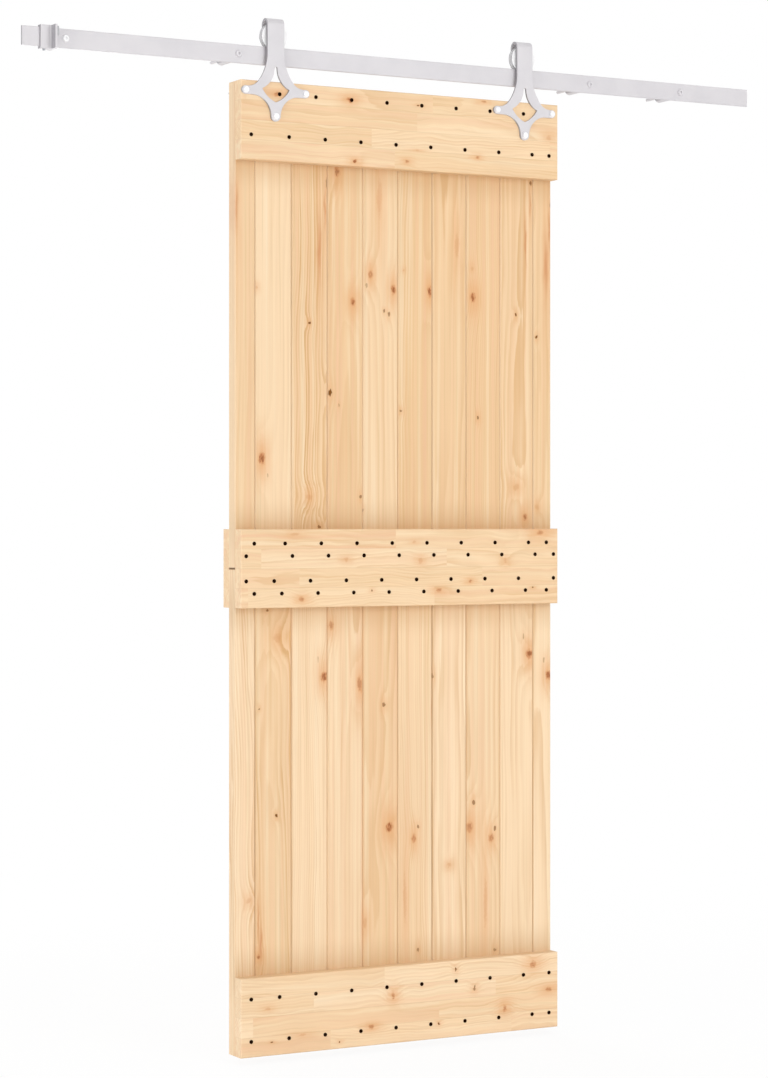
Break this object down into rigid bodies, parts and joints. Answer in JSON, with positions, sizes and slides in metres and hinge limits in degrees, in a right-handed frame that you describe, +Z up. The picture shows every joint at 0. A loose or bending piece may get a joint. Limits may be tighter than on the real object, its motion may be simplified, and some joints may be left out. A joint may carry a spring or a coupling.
{
  "type": "sliding barn door",
  "caption": "Ledged pine plank door sliding on a flat-bar wall rail, hung by strap hangers with open star-shaped feet and grooved wheels, with an end stop clamped on the rail.",
  "frame": {"origin": "on the wall plane, midway between the two outer wall bolts, at the middle of the rail's height", "axes": "+X along the rail to the right as seen from the front, +Y into the wall, +Z up; the door's front faces -Y"},
  "size_m": [1.83, 0.1615, 2.2373],
  "materials": {
    "pine_plank": "planed and sanded, unfinished",
    "pine_ledge": "planed and sanded, unfinished",
    "white_steel": "satin powder coat",
    "white_nylon": "turned nylon",
    "pale_rubber": "matt",
    "plain_steel": "zinc plated",
    "bronze_bush": "machined"
  },
  "bodies": {
    "track": {"rail": "white_steel", "wall_bolts": "white_steel", "rail_spacers": "white_steel", "end_stop": "white_steel", "end_stop_bumper": "pale_rubber", "end_stop_screw": "plain_steel"},
    "door": {"plank_upper_left_1": "pine_plank", "plank_upper_left_2": "pine_plank", "plank_upper_left_3": "pine_plank", "plank_upper_left_4": "pine_plank", "plank_upper_left_5": "pine_plank", "plank_upper_right_1": "pine_plank", "plank_upper_right_2": "pine_plank", "plank_upper_right_3": "pine_plank", "plank_upper_right_4": "pine_plank", "plank_upper_right_5": "pine_plank", "plank_lower_left_1": "pine_plank", "plank_lower_left_2": "pine_plank", "plank_lower_left_3": "pine_plank", "plank_lower_left_4": "pine_plank", "plank_lower_left_5": "pine_plank", "plank_lower_right_1": "pine_plank", "plank_lower_right_2": "pine_plank", "plank_lower_right_3": "pine_plank", "plank_lower_right_4": "pine_plank", "plank_lower_right_5": "pine_plank", "top_ledge": "pine_ledge", "middle_front_ledge": "pine_ledge", "middle_back_ledge": "pine_ledge", "bottom_ledge": "pine_ledge", "hanger_strap_left": "white_steel", "hanger_strap_right": "white_steel", "hanger_bolts": "white_steel", "hanger_nuts": "plain_steel", "wheel_axles": "plain_steel", "axle_washers": "plain_steel"},
    "wheel_left": {"hanger_wheel_left": "white_nylon", "wheel_bush_left": "bronze_bush"},
    "wheel_right": {"hanger_wheel_right": "white_nylon", "wheel_bush_right": "bronze_bush"}
  },
  "joints": [
    {"name": "door_slide", "type": "slide", "parent": "track", "child": "door", "axis": [1, 0, 0], "range_m": [-0.481, 0.593]},
    {"name": "wheel_left_roll", "type": "hinge", "parent": "door", "child": "wheel_left", "pos_m": [-0.28899, -0.0845, 0.0433], "axis": [0, 1, 0], "continuous": true},
    {"name": "wheel_right_roll", "type": "hinge", "parent": "door", "child": "wheel_right", "pos_m": [0.33901, -0.0845, 0.0433], "axis": [0, 1, 0], "continuous": true}
  ],
  "couplings": [
    {"joint": "wheel_left_roll", "follows": "door_slide", "rad_per_m": 43.478},
    {"joint": "wheel_right_roll", "follows": "door_slide", "rad_per_m": 43.478}
  ]
}
